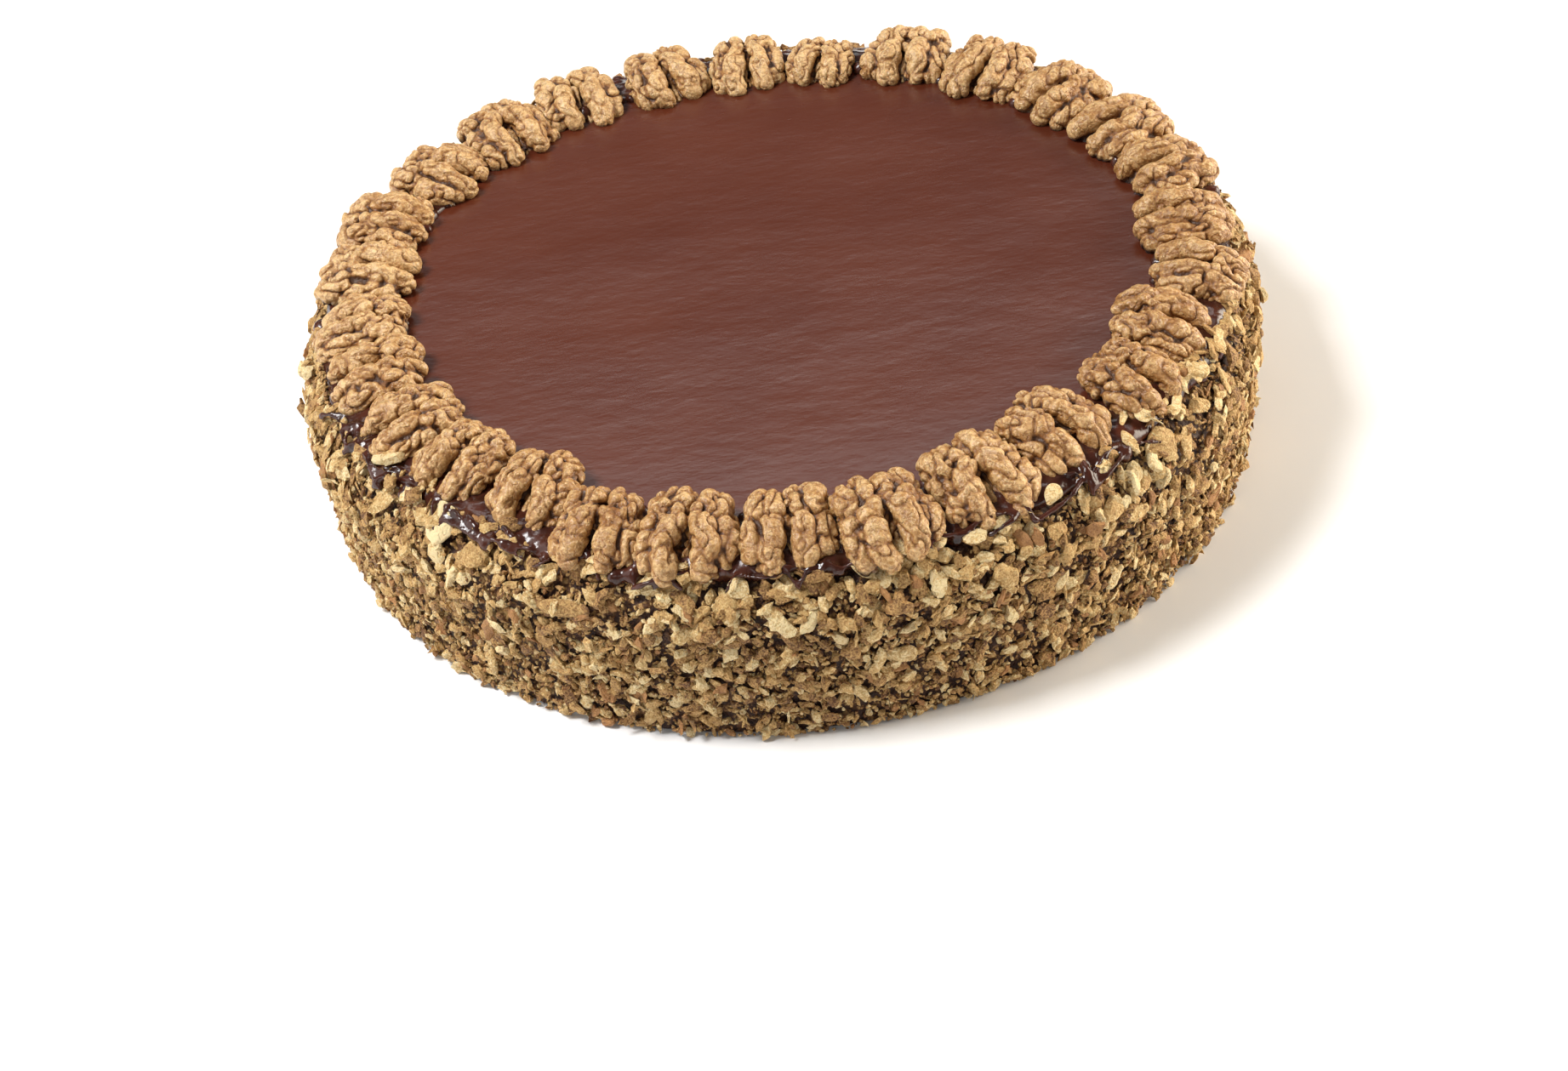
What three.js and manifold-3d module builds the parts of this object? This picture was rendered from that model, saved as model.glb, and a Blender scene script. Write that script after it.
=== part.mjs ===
// A round chocolate cake, 280 mm across: chopped walnut is pressed into its side, a poured glaze
// covers the top, and walnut halves sit round the rim in a bead of dark ganache.
// Millimetres, +Z up. The origin is the centre of the flat underside, and the front faces -Y.

import * as THREE from 'three';
import { mergeVertices } from 'three/addons/utils/BufferGeometryUtils.js';
import Module from 'manifold-3d';

const wasm = await Module();
wasm.setup();

// Driving dimensions of the cake.
const CAKE_RADIUS = 140;
const CAKE_HEIGHT = 55;
const NUT_STANDS_OUT = 3;
const SHOULDER_RADIUS = 15;
const BASE_TAPER = 3;
const GLAZE_THICKNESS = 1.7;
const FIT_GAP = 0.3;
const ROUND_SEGMENTS = 48;

// The bead of ganache lies on the glaze, from its inner foot out to a lowest angle on the shoulder.
// Angles on the shoulder are in degrees up from level.
const BEAD_INNER_RADIUS = 109;
const BEAD_CREST_RADIUS = 113;
const BEAD_THICKNESS = 3;
const BEAD_LOWEST_ANGLE = 60;
const BEAD_EDGE_ANGLE = 9;
const SHOULDER_STEP_ANGLE = 15;

// Walnut halves. Their length runs out from the cake's centre, over the shoulder. They lean outwards
// in degrees, more at the front of the cake than at the back. The clefts are a share of the half
// length, and the groove and the waist a share of the height and the width.
const WALNUT_LENGTH = 29;
const WALNUT_WIDTH = 25.5;
const WALNUT_RISE = 9.5;
const WALNUT_BELLY = 8;
const WALNUT_SEAT_HEIGHT = 55.5;
const MEAN_LEAN = 6;
const LEAN_TO_FRONT = 11;
const DEEP_CLEFT = 0.42;
const SHALLOW_CLEFT = 0.16;
const MIDDLE_GROOVE = 0.45;
const WAIST = 0.16;
const BLUNT_ENDS = 0.45;
const KNOBBLE = 0.05;
const ABOVE_SHOULDER = 1.5;
const LOWEST_SEAT_ANGLE = 45;

// Chopped pieces lie in rows up the side and over the shoulder. Every third one is a rounder lump,
// and the rest are angular chips.
const PIECE_ROWS = 6;
const PIECES_IN_ROW = 30;
const LOWEST_ROW = 4.5;
const HIGHEST_ROW = 49;
const ROW_SPREAD = 2;
const PIECE_LENGTH = 14;
const PIECE_WIDTH = 10.5;
const PIECE_THICKNESS = 8;
const PIECE_TILT = 15;
const PIECE_ROUGHNESS = 0.2;
const SMALLEST_AT_BASE = 0.65;
const SMALLEST_AT_TOP = 0.8;
const SIZE_SPREAD = 0.3;
const CHIP_SIDE = 1.2;
const CHOP_SEED = 11;

// Each half round the rim, from the right-hand side towards the back: its direction from the
// centre in degrees, the radius of its middle, its turn in degrees and its size against the rest.
// About half of them are turned round, so that the deeper cleft faces the cake's centre.
const WALNUTS = [
  [11.5, 120, 186, 1.0], [24, 119, 171, 1.06], [37, 118.5, 173, 1.02], [50.5, 118, 184, 1.02],
  [64, 117, 188, 1.02], [77.5, 111.5, 175, 0.8], [89.5, 113, 181, 0.92], [102.5, 113.5, 187, 1.0],
  [117, 117, 172, 1.0], [130, 118, 176, 1.02], [143.5, 119, 192, 1.0], [157, 121, 190, 1.02],
  [169.5, 118.5, 178, 1.03], [182, 118, -7, 0.96], [194, 117, -12, 1.0], [207, 115.5, -9, 0.96],
  [219.5, 115, 3, 0.95], [232.5, 114, 7, 0.95], [244, 122, 3, 0.96], [255.5, 120.5, 0, 1.02],
  [267.5, 120, 2, 0.96], [279.5, 122, 5, 1.02], [292.5, 118, 4, 1.06], [306, 115.5, 12, 1.04],
  [320.5, 118, 2, 0.96], [333, 115.5, 9, 1.0], [346, 121.5, 172, 0.93], [358.5, 117.5, 178, 1.0],
];

const BODY_RADIUS = CAKE_RADIUS - NUT_STANDS_OUT;
const BODY_HEIGHT = CAKE_HEIGHT - GLAZE_THICKNESS - FIT_GAP;
const SHOULDER_CENTRE = new THREE.Vector2(BODY_RADIUS - SHOULDER_RADIUS, BODY_HEIGHT - SHOULDER_RADIUS);
const BEAD_UNDERSIDE = SHOULDER_RADIUS + GLAZE_THICKNESS + 2 * FIT_GAP;
const radians = THREE.MathUtils.degToRad;

const materials = {
  cake: new THREE.MeshStandardMaterial({ color: 0xb48c58, roughness: 0.85, flatShading: true }),
  glaze: new THREE.MeshStandardMaterial({ color: 0x6e4034, roughness: 0.35 }),
  ganache: new THREE.MeshStandardMaterial({ color: 0x2c1610, roughness: 0.2 }),
  walnut: new THREE.MeshStandardMaterial({ color: 0xc39a68, roughness: 0.6, flatShading: true }),
};

// A generator of repeatable numbers from 0 to 1.
function seededDraw(seed) {
  let state = seed;
  return () => {
    state = (state * 1103515245 + 12345) % 2147483648;
    return state / 2147483648;
  };
}

// A drawn number from -1 to 1.
function either(draw) {
  return 2 * draw() - 1;
}

// A geometry reduced to positions that its triangles share.
function shared(geometry) {
  const bare = geometry.clone();
  bare.deleteAttribute('normal');
  bare.deleteAttribute('uv');
  return mergeVertices(bare, 1e-4);
}

// A closed geometry as a solid that can be joined and cut.
function solidFrom(geometry) {
  const merged = shared(geometry);
  return new wasm.Manifold(new wasm.Mesh({
    numProp: 3,
    vertProperties: new Float32Array(merged.attributes.position.array),
    triVerts: new Uint32Array(merged.index.array),
  }));
}

function geometryFrom(solid) {
  const mesh = solid.getMesh();
  const geometry = new THREE.BufferGeometry();
  geometry.setAttribute('position', new THREE.BufferAttribute(mesh.vertProperties, 3));
  geometry.setIndex(new THREE.BufferAttribute(mesh.triVerts, 1));
  geometry.computeVertexNormals();
  return geometry;
}

// A point at a distance from the centre of the rounded shoulder, its angle measured up from level.
function shoulderPoint(distance, angle) {
  const along = radians(angle);
  return new THREE.Vector2(Math.cos(along), Math.sin(along)).multiplyScalar(distance).add(SHOULDER_CENTRE);
}

// Points on an arc round the shoulder, at the same angles on every layer, so that layers stay parallel.
function shoulderArc(distance, fromAngle, toAngle) {
  const steps = Math.round(Math.abs(toAngle - fromAngle) / SHOULDER_STEP_ANGLE);
  return Array.from({ length: steps + 1 }, (_, i) => (
    shoulderPoint(distance, THREE.MathUtils.lerp(fromAngle, toAngle, i / steps))
  ));
}

// A profile of radius and height, turned about the upright axis.
function turned(profile) {
  return new THREE.LatheGeometry(profile, ROUND_SEGMENTS).rotateX(Math.PI / 2);
}

function coatedBody() {
  return turned([
    new THREE.Vector2(0, 0),
    new THREE.Vector2(BODY_RADIUS - BASE_TAPER, 0),
    ...shoulderArc(SHOULDER_RADIUS, 0, 90),
    new THREE.Vector2(0, BODY_HEIGHT),
  ]);
}

// The glaze lies on the flat top and runs a little way down the shoulder.
function glazeLayer() {
  const inner = SHOULDER_RADIUS + FIT_GAP;
  const outer = inner + GLAZE_THICKNESS;
  return turned([
    new THREE.Vector2(0, BODY_HEIGHT + FIT_GAP),
    ...shoulderArc(inner, 90, BEAD_LOWEST_ANGLE),
    ...shoulderArc(outer, BEAD_LOWEST_ANGLE, 90),
    new THREE.Vector2(0, CAKE_HEIGHT),
  ]);
}

// The upper side of the ganache bead, from its outer foot to its inner foot, raised by a gap.
function beadTop(gap) {
  const crest = BEAD_UNDERSIDE + BEAD_THICKNESS + gap;
  return [
    shoulderPoint(BEAD_UNDERSIDE + gap, BEAD_LOWEST_ANGLE - 4 * gap),
    shoulderPoint(crest, BEAD_LOWEST_ANGLE + BEAD_EDGE_ANGLE - 2 * gap),
    shoulderPoint(crest, 90),
    new THREE.Vector2(BEAD_CREST_RADIUS - gap, SHOULDER_CENTRE.y + crest),
    new THREE.Vector2(BEAD_INNER_RADIUS - 2 * gap, CAKE_HEIGHT + FIT_GAP),
  ];
}

function ganacheBead() {
  return turned([
    new THREE.Vector2(BEAD_INNER_RADIUS, CAKE_HEIGHT + FIT_GAP),
    ...shoulderArc(BEAD_UNDERSIDE, 90, BEAD_LOWEST_ANGLE),
    ...beadTop(0).slice(1),
  ]);
}

// Everything that a walnut half rests on, grown by the gap: the halves are cut to it.
function seatSolid() {
  return solidFrom(turned([
    new THREE.Vector2(0, 0),
    new THREE.Vector2(BODY_RADIUS + FIT_GAP, 0),
    shoulderPoint(SHOULDER_RADIUS + ABOVE_SHOULDER, 0),
    shoulderPoint(SHOULDER_RADIUS + ABOVE_SHOULDER, LOWEST_SEAT_ANGLE),
    ...beadTop(FIT_GAP),
    new THREE.Vector2(0, CAKE_HEIGHT + FIT_GAP),
  ]));
}

// How close a value is to a middle: 1 there, falling smoothly to nothing over a width.
function near(value, middle, width) {
  return Math.exp(-(((value - middle) / width) ** 2));
}

// A walnut half lies along X with its deeper cleft at +X. It starts as a ball. A cleft at each end and
// a groove between them part it into two long lobes and two short ones, and a waist narrows it.
function walnutHalf(index, size) {
  const draw = seededDraw(100 + index);
  const half = shared(new THREE.IcosahedronGeometry(1, 2));
  const corners = half.attributes.position;
  const bridge = 0.1 * draw() - 0.15;
  for (let i = 0; i < corners.count; i += 1) {
    const x = corners.getX(i);
    const y = corners.getY(i);
    const z = corners.getZ(i);
    const cleft = near(y, 0, 0.24) * (x > 0 ? DEEP_CLEFT * x : SHALLOW_CLEFT * -x);
    const blunt = 1 + BLUNT_ENDS * x * x;
    const waist = 1 - WAIST * near(x, bridge, 0.3);
    const groove = MIDDLE_GROOVE * near(y, 0, 0.2) * (1 - 0.6 * near(x, bridge, 0.25));
    const knob = 1 + KNOBBLE * either(draw);
    corners.setXYZ(
      i,
      0.5 * WALNUT_LENGTH * size * x * (1 - cleft) * knob,
      0.5 * WALNUT_WIDTH * size * y * blunt * waist * knob,
      z > 0 ? WALNUT_RISE * Math.sqrt(z) * (1 - groove) * knob : WALNUT_BELLY * z,
    );
  }
  return solidFrom(half);
}

function walnutMesh(seat, row, index) {
  const [direction, radius, turn, size] = row;
  const mesh = new THREE.Mesh(undefined, materials.walnut);
  mesh.name = `walnut_${String(index + 1).padStart(2, '0')}`;
  const around = radians(direction);
  const lean = radians(MEAN_LEAN - LEAN_TO_FRONT * Math.sin(around));
  mesh.position.set(radius * Math.cos(around), radius * Math.sin(around), WALNUT_SEAT_HEIGHT);
  mesh.rotation.set(0, lean, around, 'ZYX');
  mesh.rotateZ(radians(turn));
  mesh.updateMatrixWorld(true);
  const toMesh = mesh.matrixWorld.clone().invert();
  const cut = walnutHalf(index, size).subtract(seat.transform(toMesh.elements));
  const largest = cut.decompose().sort((a, b) => b.volume() - a.volume())[0];
  mesh.geometry = geometryFrom(largest);
  return mesh;
}

// One chopped piece: a rough lump or chip that lies against the side, sunk halfway into it. Its place
// is a direction from the centre and a length up the side, which carries on over the shoulder.
function choppedPiece(draw, shape, around, upSide) {
  const piece = shared(shape);
  const corners = piece.attributes.position;
  for (let i = 0; i < corners.count; i += 1) {
    const reach = 1 + PIECE_ROUGHNESS * either(draw);
    corners.setXYZ(i, corners.getX(i) * reach, corners.getY(i) * reach, corners.getZ(i) * reach);
  }
  const shareOfSide = Math.min(1, upSide / SHOULDER_CENTRE.y);
  const smallest = THREE.MathUtils.lerp(SMALLEST_AT_BASE, SMALLEST_AT_TOP, shareOfSide);
  const halfSize = 0.5 * (smallest + SIZE_SPREAD * draw());
  piece.scale(PIECE_THICKNESS * halfSize, PIECE_LENGTH * halfSize, PIECE_WIDTH * halfSize);
  piece.rotateX(Math.PI * draw());
  piece.rotateY(radians(PIECE_TILT * either(draw)));
  const upShoulder = Math.max(0, upSide - SHOULDER_CENTRE.y) / SHOULDER_RADIUS;
  const place = shoulderPoint(SHOULDER_RADIUS, THREE.MathUtils.radToDeg(upShoulder));
  piece.rotateY(-upShoulder);
  piece.translate(place.x - BASE_TAPER * (1 - shareOfSide), 0, Math.min(upSide, place.y));
  return piece.rotateZ(around);
}

// The body with its chopped walnut fused on, cut flat underneath. A piece that comes near a topping is
// left out.
function nutCoatedCake(toppings) {
  const draw = seededDraw(CHOP_SEED);
  const solids = toppings.map((mesh) => solidFrom(mesh.geometry).transform(mesh.matrixWorld.elements));
  const lump = new THREE.IcosahedronGeometry(1, 0);
  const chip = new THREE.BoxGeometry(CHIP_SIDE, CHIP_SIDE, CHIP_SIDE);
  const pieces = [];
  for (let row = 0; row < PIECE_ROWS; row += 1) {
    const upToRow = THREE.MathUtils.lerp(LOWEST_ROW, HIGHEST_ROW, row / (PIECE_ROWS - 1));
    for (let i = 0; i < PIECES_IN_ROW; i += 1) {
      const around = 2 * Math.PI * (i + 0.5 * (row % 2) + 0.25 * either(draw)) / PIECES_IN_ROW;
      const upSide = upToRow + ROW_SPREAD * either(draw);
      const shape = (i + row) % 3 === 0 ? lump : chip;
      const piece = solidFrom(choppedPiece(draw, shape, around, upSide));
      if (solids.every((solid) => piece.minGap(solid, 2 * FIT_GAP) > FIT_GAP)) {
        pieces.push(piece);
      }
    }
  }
  const belowBase = new THREE.BoxGeometry(3 * CAKE_RADIUS, 3 * CAKE_RADIUS, CAKE_HEIGHT);
  belowBase.translate(0, 0, -0.5 * CAKE_HEIGHT);
  return wasm.Manifold.union([solidFrom(coatedBody()), ...pieces]).subtract(solidFrom(belowBase));
}

const cake = new THREE.Group();
const seat = seatSolid();
const walnuts = WALNUTS.map((row, index) => walnutMesh(seat, row, index));

const glaze = new THREE.Mesh(glazeLayer(), materials.glaze);
glaze.name = 'glaze';
const bead = new THREE.Mesh(ganacheBead(), materials.ganache);
bead.name = 'ganache_bead';
const body = new THREE.Mesh(geometryFrom(nutCoatedCake([glaze, bead, ...walnuts])), materials.cake);
body.name = 'cake';

cake.add(body, glaze, bead, ...walnuts);

export default cake;
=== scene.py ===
"""A round chocolate cake: walnut halves round the rim in dark ganache, a satin glaze on the top and a
side coated in chopped walnut. Shapes are worked out in millimetres and handed over in metres."""

import math
import random

import bmesh
import bpy
import numpy as np
from mathutils import Matrix, Vector


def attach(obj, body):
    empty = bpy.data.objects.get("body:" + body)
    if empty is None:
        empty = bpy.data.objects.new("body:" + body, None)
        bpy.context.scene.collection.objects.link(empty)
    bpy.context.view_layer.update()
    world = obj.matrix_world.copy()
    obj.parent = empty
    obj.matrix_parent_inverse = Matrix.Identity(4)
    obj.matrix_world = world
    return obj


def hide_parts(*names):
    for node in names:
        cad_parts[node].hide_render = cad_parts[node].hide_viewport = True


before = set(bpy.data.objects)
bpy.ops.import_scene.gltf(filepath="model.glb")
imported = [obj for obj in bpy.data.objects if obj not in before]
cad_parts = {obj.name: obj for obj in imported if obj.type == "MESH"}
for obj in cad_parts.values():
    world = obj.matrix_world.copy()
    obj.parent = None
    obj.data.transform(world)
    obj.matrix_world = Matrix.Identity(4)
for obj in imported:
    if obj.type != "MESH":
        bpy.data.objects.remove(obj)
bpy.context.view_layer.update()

MILLIMETRE = 0.001

# The body of the cake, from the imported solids' own driving values.
BODY_RADIUS = 137.0
BODY_HEIGHT = 53.0
SHOULDER_RADIUS = 15.0
BASE_TAPER = 3.0
GLAZE_TOP = 55.0
GLAZE_THICKNESS = GLAZE_TOP - BODY_HEIGHT
GLAZE_GAP = 0.4
SHOULDER_R = BODY_RADIUS - SHOULDER_RADIUS
SHOULDER_Z = BODY_HEIGHT - SHOULDER_RADIUS

# Directions round the cake are in degrees from its right-hand side, so the back is at 90.
BACK = 90
BACK_WIDTH = 34
RIM_DROP_AT_BACK = 3.0
RIM_DROP_FROM_RADIUS = 120

# Each half round the rim, from the right-hand side towards the back: its direction in degrees, the
# radius of its middle, its turn in degrees and its size against the rest. They lean outwards, more
# at the front than at the back.
WALNUT_SEAT_HEIGHT = 55.5
MEAN_LEAN = 6.0
LEAN_TO_FRONT = 11.0
WALNUTS = [
    (11.5, 120, 186, 1.00), (24, 119, 171, 1.06), (37, 118.5, 173, 1.02), (50.5, 118, 184, 1.02),
    (64, 117, 188, 1.02), (77.5, 111.5, 175, 0.80), (89.5, 113, 181, 0.92), (102.5, 113.5, 187, 1.00),
    (117, 117, 172, 1.00), (130, 118, 176, 1.02), (143.5, 119, 192, 1.00), (157, 121, 190, 1.02),
    (169.5, 118.5, 178, 1.03), (182, 118, -7, 0.96), (194, 117, -12, 1.00), (207, 115.5, -9, 0.96),
    (219.5, 115, 3, 0.95), (232.5, 114, 7, 0.95), (244, 122, 3, 0.96), (255.5, 120.5, 0, 1.02),
    (267.5, 120, 2, 0.96), (279.5, 122, 5, 1.02), (292.5, 118, 4, 1.06), (306, 115.5, 12, 1.04),
    (320.5, 118, 2, 0.96), (333, 115.5, 9, 1.00), (346, 121.5, 172, 0.93), (358.5, 117.5, 178, 1.00),
]

# Painted light and shade on the halves: how much paler or darker they are made at the right, back, left,
# front and right again, as the light falls round the rim.
PAINTED_LIGHT_ROUND_RIM = (-0.32, 0.24, -0.08, -0.28, -0.32)

# The size in millimetres of the steps in which shapes are melted together.
KERNEL_GRAIN = 0.38
GANACHE_GRAIN = 0.7

# The body under the chopped pieces lies a little inside the coated side.
CORE_INSET = 1.2
CORE_RINGS = 62
CORE_STEPS_ROUND = 980
CORE_STEP_UP_SHOULDER = 2.5
CORE_FLAT_RADIUS = 120

# Blobs on the outside and the inside of the ganache bead, and strands that hang over the coat.
OUTER_BLOBS = 170
INNER_BLOBS = 110
STRANDS = 60

# How far up the side the coat reaches, as a length along it. It stops short below these gaps between
# the halves, in degrees, and leaves pockets of ganache.
COAT_REACHES = 53.5
POCKETS = (238, 249.5, 261.5, 273.5, 286, 299, 313)
POCKET_WIDTH = 2.6
POCKET_DEPTH = 4.5
SHARE_OF_BROWN_SKIN = 0.06

# Large loose flakes near the rim: direction in degrees, height up the side, length, width, turn in
# degrees from level and how pale each is, 1 being cream.
LOOSE_FLAKES = [
    (213.5, 49.0, 12, 5, 65, 0.75), (223.5, 52.0, 12, 10, 80, 1.3), (229.5, 49.5, 10, 7, 70, 0.6),
    (230.5, 26.5, 11, 4, 75, 0.3), (233.5, 53.5, 7, 5, 20, 0.6), (241.5, 42.5, 14, 6, 5, 0.5),
    (245.0, 53.0, 7, 4, 30, 0.9), (246.5, 56.5, 6, 4, -20, 0.95), (260.5, 47.5, 7, 5, 10, 0.7),
    (261.5, 51.0, 6, 6, 0, 0.95), (275.5, 51.5, 8, 3.5, -45, 0.95), (277.0, 48.5, 6, 4.5, 15, 1.0),
    (284.5, 54.0, 6, 4, 60, 0.95), (288.5, 52.5, 7, 5, 0, 1.0), (292.0, 52.5, 6, 5, 40, 1.0),
    (298.0, 46.0, 7, 5, -10, 0.6), (299.0, 53.5, 7, 5, 25, 1.0), (310.0, 48.0, 7, 5, 50, 1.0),
    (314.0, 59.5, 9, 2.5, 30, 0.9), (315.5, 50.0, 10, 8, 0, 0.65), (316.5, 57.0, 9, 6, 10, 1.0),
    (302.5, 49.5, 8, 3, 70, 0.85), (305.5, 44.0, 9, 6, 20, 0.7), (306.5, 53.0, 9, 3, 35, 0.95),
    (309.0, 38.5, 8, 5, -20, 0.75), (311.5, 54.0, 8, 3, 80, 0.8), (319.0, 45.0, 9, 5, 60, 0.7),
    (320.5, 53.5, 10, 3, 15, 0.95), (324.0, 49.0, 8, 5, -30, 0.7), (326.5, 55.0, 9, 3, 45, 0.9),
    (330.5, 47.0, 8, 5, 75, 0.7), (334.0, 54.0, 9, 3, 10, 0.85), (340.0, 50.0, 8, 5, 50, 0.7),
]

# The camera, fitted to the photo: its view down and its roll in degrees, its lens in millimetres and
# its place in metres.
CAMERA_DOWN = 39.334
CAMERA_ROLL = -7.371
CAMERA_LENS = 69.98
CAMERA_PLACE = (-0.00630, -0.72432, 0.55160)

# The lamps, in metres: name, place, width and height, power and tint. All aim at the cake's middle.
CAKE_MIDDLE = (0, 0, 0.04)
WHITE = (1, 1, 1)
LAMPS = [
    ("key", (-0.8, -0.1, 1.35), (0.5, 0.5), 27.0, WHITE),
    ("left_fill", (-1.3, -0.2, 0.5), (1.3, 1.0), 6.0, WHITE),
    ("front_fill", (-0.2, -1.5, 0.9), (0.9, 0.6), 3.0, WHITE),
    ("right_fill", (1.3, 0.2, 0.4), (1.3, 0.8), 32.0, (1.0, 0.91, 0.77)),
    ("back_sheen", (0.0, 1.33, 1.41), (2.4, 0.2), 8.5, WHITE),
]
SURROUNDINGS_STRENGTH = 0.08
FLOOR_SIZE = 4.0


# Finishes

class Signal:
    """A socket whose value varies over a surface. Arithmetic on it adds Math nodes."""

    def __init__(self, finish, socket):
        self.finish = finish
        self.socket = socket

    def math(self, operation, *values):
        return self.finish.node("ShaderNodeMath", {"operation": operation}, dict(enumerate(values)))

    def __add__(self, other):
        return self.math("ADD", self, other)

    __radd__ = __add__

    def __sub__(self, other):
        return self.math("SUBTRACT", self, other)

    def __rsub__(self, other):
        return self.math("SUBTRACT", other, self)

    def __mul__(self, other):
        return self.math("MULTIPLY", self, other)

    __rmul__ = __mul__

    def between(self, low, high):
        """0 below low and 1 above high, smoothly in between."""
        return self.finish.node(
            "ShaderNodeMapRange", {"interpolation_type": "SMOOTHSTEP"},
            {"Value": self, "From Min": low, "From Max": high},
        )

    def lines(self, width):
        """1 along thin winding lines where noise passes 0.5, 0 away from them."""
        return 1 - self.math("ABSOLUTE", self - 0.5).between(0.0, width)

    def colours(self, *stops):
        """A ramp of (place, colour) stops, read at this value."""
        return self.finish.node("ShaderNodeValToRGB", {"stops": stops}, {"Fac": self})


class Finish:
    """A material as it is put together, on one Principled shader."""

    def __init__(self, name, **shader):
        self.material = bpy.data.materials.new(name)
        self.material.use_nodes = True
        self.nodes = self.material.node_tree.nodes
        self.links = self.material.node_tree.links
        self.shader = self.nodes["Principled BSDF"]
        for socket, value in shader.items():
            self.shader.inputs[socket.replace("_", " ")].default_value = value
        self.place = self.node("ShaderNodeTexCoord", output="Object")

    def node(self, kind, settings=None, sockets=None, output=0):
        made = self.nodes.new(kind)
        for name, value in (settings or {}).items():
            if name == "stops":
                self.set_stops(made.color_ramp, value)
            else:
                setattr(made, name, value)
        for name, value in (sockets or {}).items():
            if isinstance(value, Signal):
                self.links.new(value.socket, made.inputs[name])
            else:
                made.inputs[name].default_value = value
        return Signal(self, made.outputs[output])

    @staticmethod
    def set_stops(ramp, stops):
        for _ in range(len(stops) - len(ramp.elements)):
            ramp.elements.new(0.5)
        for element, (place, colour) in zip(ramp.elements, stops):
            element.position = place
            element.color = (*colour, 1)

    def attribute(self, name):
        return self.node("ShaderNodeAttribute", {"attribute_name": name}, output="Fac")

    def mottle(self, size, detail=2.0, place=None):
        """Soft noise from 0 to 1, its patches about so many millimetres across."""
        sockets = {"Vector": place or self.place, "Scale": 1 / (size * MILLIMETRE), "Detail": detail}
        return self.node("ShaderNodeTexNoise", None, {**sockets, "Roughness": 0.55})

    def stretched(self, scale, turn=0.0):
        """Object coordinates scaled along each axis, for patterns that run one way."""
        return self.node(
            "ShaderNodeMapping", None,
            {"Vector": self.place, "Scale": scale, "Rotation": (0.0, 0.0, turn)},
        )

    def bent(self, amount_mm, size):
        """Object coordinates pushed about by soft noise, so that a regular pattern turns uneven."""
        sockets = {"Vector": self.place, "Scale": 1 / (size * MILLIMETRE)}
        noise = self.node("ShaderNodeTexNoise", None, sockets, output="Color")
        return self.node(
            "ShaderNodeVectorMath", {"operation": "MULTIPLY_ADD"},
            {0: noise, 1: (amount_mm * MILLIMETRE,) * 3, 2: self.place},
        )

    def mix(self, amount, first, second):
        """The second colour over the first, where the amount is 1."""
        return self.node(
            "ShaderNodeMix", {"data_type": "RGBA"},
            {0: amount, 6: self.colour(first), 7: self.colour(second)}, output=2,
        )

    @staticmethod
    def colour(value):
        return value if isinstance(value, Signal) else (*value, 1)

    def relief(self, height, depth_mm, under=None):
        """A bump of so many millimetres where height goes from 0 to 1."""
        sockets = {"Height": height, "Distance": depth_mm * MILLIMETRE, "Strength": 1.0}
        if under:
            sockets["Normal"] = under
        return self.node("ShaderNodeBump", None, sockets)

    def feed(self, **sockets):
        for name, value in sockets.items():
            self.links.new(value.socket, self.shader.inputs[name.replace("_", " ")])
        return self.material


def srgb(red, green, blue):
    """A colour given as it looks on a screen, 0 to 255."""
    return tuple(
        share / 12.92 if share <= 0.04045 else ((share + 0.055) / 1.055) ** 2.4
        for share in (red / 255, green / 255, blue / 255)
    )


def walnut_skin():
    """Tan skin with fine wrinkles and veins, smeared with ganache below. Its colour also carries painted
    light and shade: paler or darker by place round the rim, paler on the raised wrinkles and grain, and brown
    to dark in the creases.
    """
    finish = Finish(
        "walnut skin", Specular_IOR_Level=0.5, Subsurface_Weight=0.18, Subsurface_Scale=1.2 * MILLIMETRE,
        Subsurface_Radius=(1.0, 0.55, 0.3),
    )
    crease = finish.attribute("crease")
    tone = finish.attribute("tone")
    smear = finish.attribute("smear")
    patches = finish.mottle(4.0)
    grain = finish.mottle(0.9, detail=3.0)
    wrinkle = finish.mottle(1.5, detail=2.0)
    veins = finish.mottle(4.6, detail=3.0)
    # The skin's lightness: its own mottled tone, the painted light round the rim carried in tone, paler where
    # the wrinkles and grain stand up as bumps (a painted highlight), and painted shade in the creases.
    light = tone * 0.4 + patches * 0.4 + grain * 1.3 + wrinkle * 0.5 - crease * 0.4 - 0.75
    skin = light.colours((0.1, srgb(131, 87, 44)), (0.45, srgb(175, 130, 77)), (0.85, srgb(219, 182, 129)))
    skin = finish.mix(0.45 * wrinkle.lines(0.06), skin, srgb(138, 92, 48))
    skin = finish.mix(0.5 * veins.lines(0.025), skin, srgb(132, 83, 40))
    # Painted shade in the creases: browner, then dark brown in the deepest.
    skin = finish.mix(crease.between(0.1, 0.7), skin, srgb(140, 91, 44))
    skin = finish.mix(crease.between(0.45, 1.0), skin, srgb(80, 49, 26))
    skin = finish.mix(smear, skin, srgb(46, 22, 13))
    bump = finish.relief(wrinkle, 0.4)
    bump = finish.relief(grain, 0.38, under=bump)
    bump = finish.relief(1 - veins.lines(0.05), 0.15, under=bump)
    roughness = 0.22 + 0.28 * finish.mottle(1.2) + 0.1 * crease
    return finish.feed(Base_Color=skin, Roughness=roughness, Normal=bump)


def nut_flesh(value):
    """The colours of broken walnut, from stained brown to cream."""
    return value.colours(
        (0.0, srgb(98, 62, 32)), (0.2, srgb(151, 111, 64)), (0.5, srgb(189, 149, 91)),
        (0.75, srgb(207, 172, 114)), (1.0, srgb(231, 208, 159)),
    )


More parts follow.
